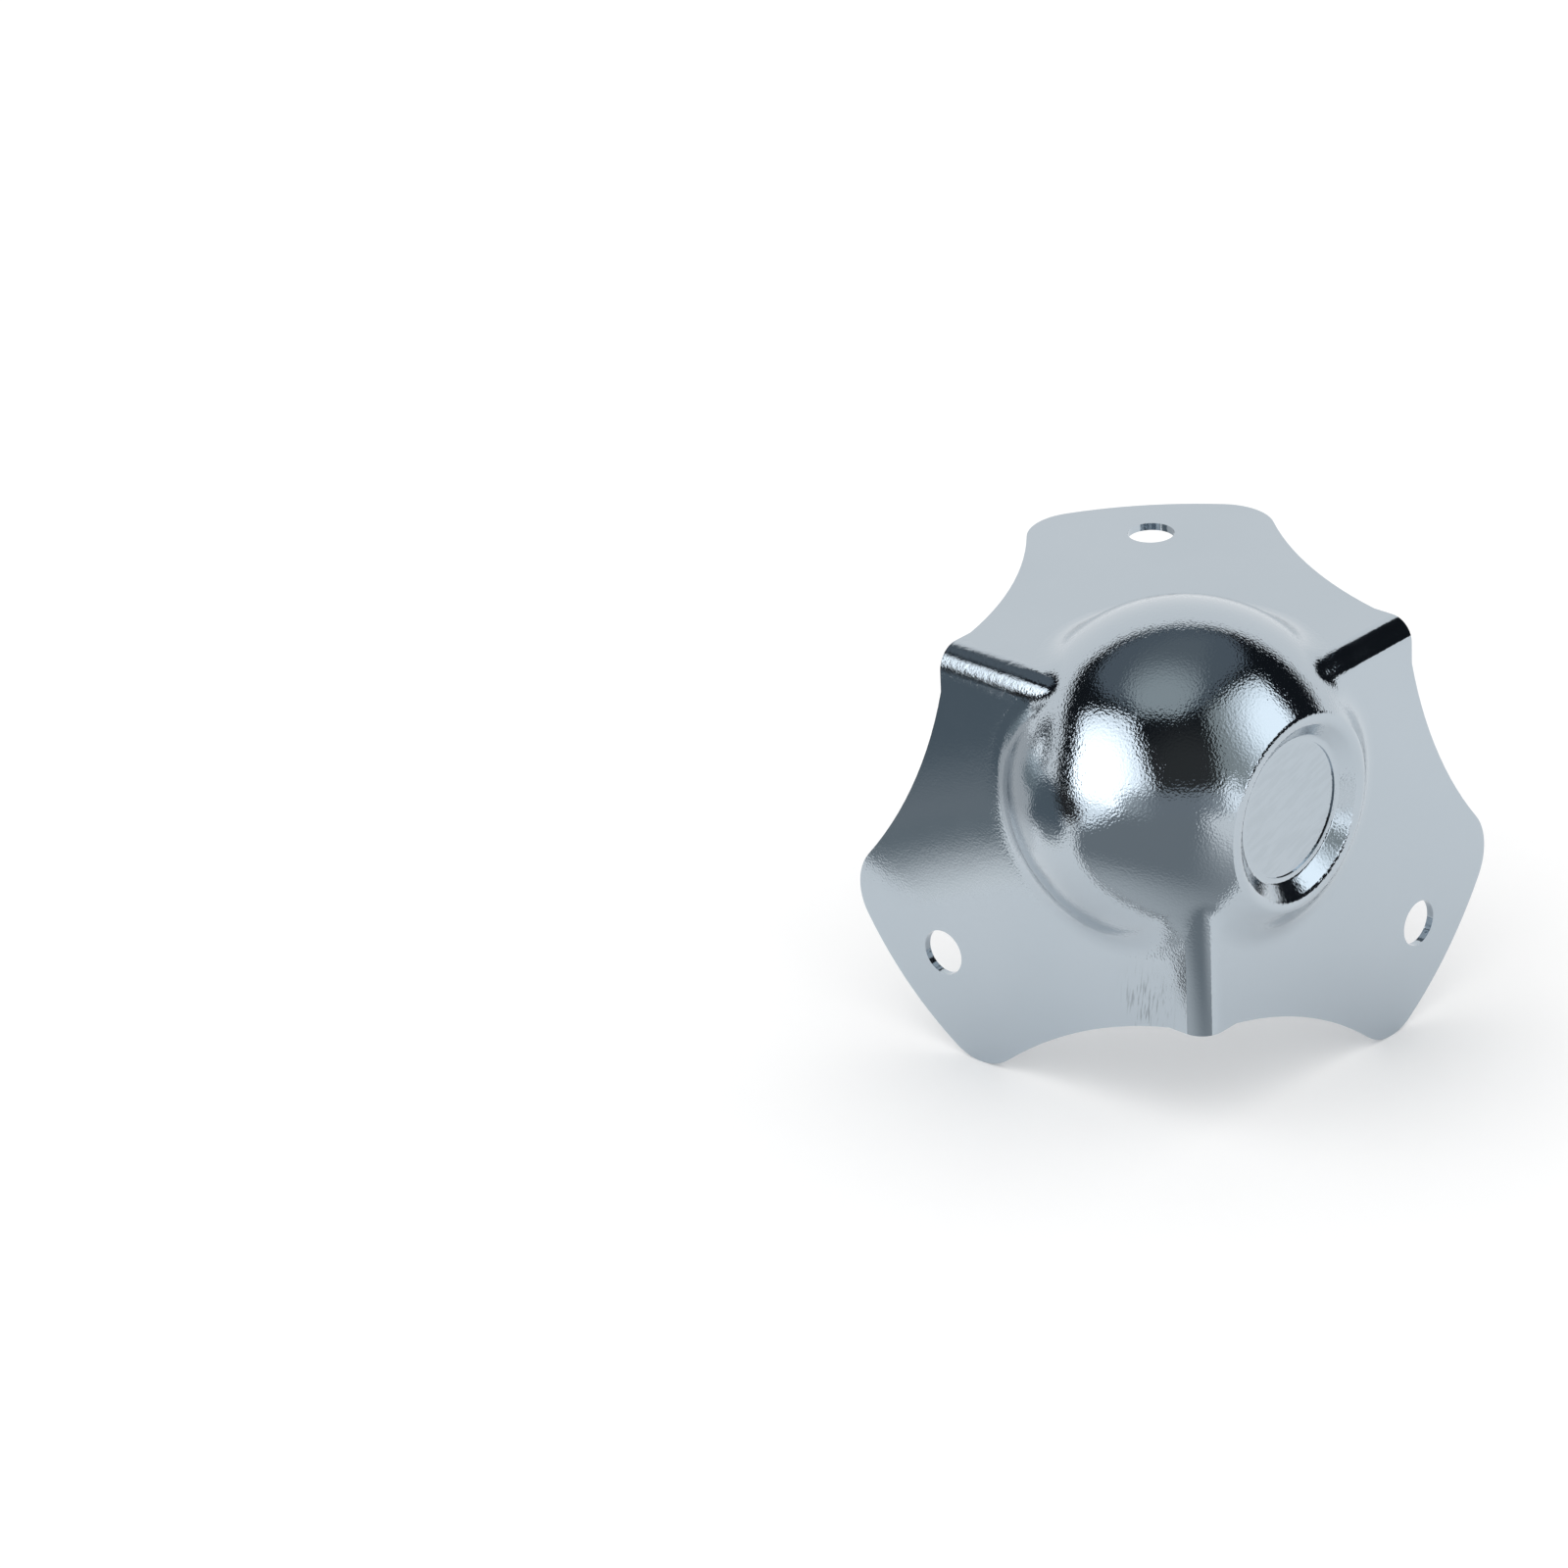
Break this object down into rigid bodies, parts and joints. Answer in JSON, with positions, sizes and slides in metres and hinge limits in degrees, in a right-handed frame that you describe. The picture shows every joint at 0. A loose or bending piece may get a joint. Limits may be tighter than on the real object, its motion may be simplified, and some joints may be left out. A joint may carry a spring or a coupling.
{
  "type": "flight case corner",
  "caption": "One-piece pressed steel corner for a transport case: flanges with rivet holes folded round a ball, and a flat-floored dish in one side of the ball for stacking.",
  "frame": {"origin": "the point where the three faces of the case would meet, on the inner faces of the flanges", "axes": "+Z out of the case's top face, +X out of its right face, where the dish is, and -Y out of its front face"},
  "size_m": [0.0492, 0.0524, 0.0524],
  "materials": {
    "plated_steel": "bright plated sheet steel with a fine rolled grain"
  },
  "bodies": {
    "root": {"corner_shell": "plated_steel"}
  },
  "joints": []
}
